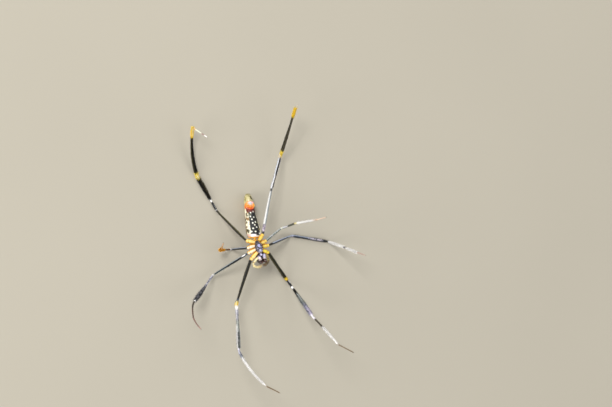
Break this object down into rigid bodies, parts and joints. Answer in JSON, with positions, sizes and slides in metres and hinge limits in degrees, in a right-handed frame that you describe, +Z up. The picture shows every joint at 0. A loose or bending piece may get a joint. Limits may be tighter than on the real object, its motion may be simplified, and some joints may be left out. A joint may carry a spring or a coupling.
{
  "type": "golden silk orb weaver spider model",
  "caption": "Life-size still model of a female golden silk orb weaver lying on its back, long banded legs reaching up, spotted belly and orange spinnerets showing.",
  "frame": {"origin": "centre of the small flat where the back of the abdomen rests on the floor", "axes": "+Z up, the side the belly faces; -Y towards the head and +Y towards the tail, along the abdomen; +X towards the animal's right legs"},
  "size_m": [0.109, 0.1656, 0.0411],
  "materials": {
    "hip": "satin orange-yellow cuticle with fine pale hair",
    "leg": "black cuticle with yellow rings, silvery hair and dark brushes",
    "tarsus": "brown fine-haired cuticle",
    "carapace": "dark cuticle under a coat of flat silver hair",
    "sternum": "black cuticle with pale lilac spots",
    "mouthpart": "dark cuticle with pale lilac rims",
    "jaw": "polished black cuticle",
    "palp": "cream-yellow cuticle with brown edges",
    "abdomen": "olive-brown skin with a black belly band and cream spots",
    "spinneret": "glossy orange-red cuticle",
    "eye": "glossy black lens"
  },
  "bodies": {
    "root": {"leg1_left_coxa": "hip", "leg1_left_femur": "leg", "leg1_left_tibia": "leg", "leg1_left_metatarsus": "leg", "leg1_left_tarsus": "tarsus", "leg2_left_coxa": "hip", "leg2_left_femur": "leg", "leg2_left_tibia": "leg", "leg2_left_metatarsus": "leg", "leg2_left_tarsus": "tarsus", "leg3_left_coxa": "hip", "leg3_left_femur": "leg", "leg3_left_tibia": "leg", "leg3_left_metatarsus": "leg", "leg3_left_tarsus": "tarsus", "leg4_left_coxa": "hip", "leg4_left_femur": "leg", "leg4_left_tibia": "leg", "leg4_left_metatarsus": "leg", "leg4_left_tarsus": "tarsus", "leg1_right_coxa": "hip", "leg1_right_femur": "leg", "leg1_right_tibia": "leg", "leg1_right_metatarsus": "leg", "leg1_right_tarsus": "tarsus", "leg2_right_coxa": "hip", "leg2_right_femur": "leg", "leg2_right_tibia": "leg", "leg2_right_metatarsus": "leg", "leg2_right_tarsus": "tarsus", "leg3_right_coxa": "hip", "leg3_right_femur": "leg", "leg3_right_tibia": "leg", "leg3_right_metatarsus": "leg", "leg3_right_tarsus": "tarsus", "leg4_right_coxa": "hip", "leg4_right_femur": "leg", "leg4_right_tibia": "leg", "leg4_right_metatarsus": "leg", "leg4_right_tarsus": "tarsus", "carapace": "carapace", "sternum": "sternum", "labium": "mouthpart", "maxilla_left": "mouthpart", "maxilla_right": "mouthpart", "chelicera_left": "jaw", "chelicera_right": "jaw", "fang_left": "jaw", "fang_right": "jaw", "palp_left": "palp", "palp_right": "palp", "pedicel": "abdomen", "abdomen": "abdomen", "spinnerets": "spinneret", "eye_front_left": "eye", "eye_front_right": "eye", "eye_rear_left": "eye", "eye_rear_right": "eye", "eye_pair_left": "eye", "eye_pair_right": "eye"}
  },
  "joints": []
}
